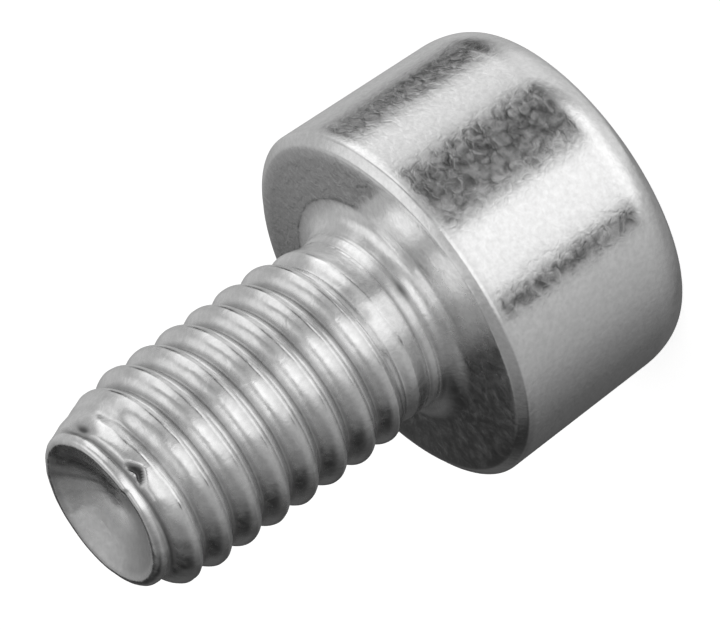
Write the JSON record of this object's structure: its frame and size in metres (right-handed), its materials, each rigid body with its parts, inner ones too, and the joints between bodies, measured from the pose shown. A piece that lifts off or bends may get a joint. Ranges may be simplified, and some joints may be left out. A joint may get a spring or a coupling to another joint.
{
  "type": "cylinder head screw",
  "caption": "Short metal machine screw with a tall smooth cylinder head, a hexagon drive socket and a threaded shank, for clamping small parts together.",
  "frame": {"origin": "centre of the head's top face, which is the face the screw stands on", "axes": "+Z along the screw's axis from the head towards the tip of the shank; X and Y across the head, with two corners of the hexagon socket on the X axis"},
  "size_m": [0.0054, 0.0054, 0.0082],
  "materials": {
    "plated_steel": "bright zinc plated steel"
  },
  "bodies": {
    "root": {"screw": "plated_steel"}
  },
  "joints": []
}
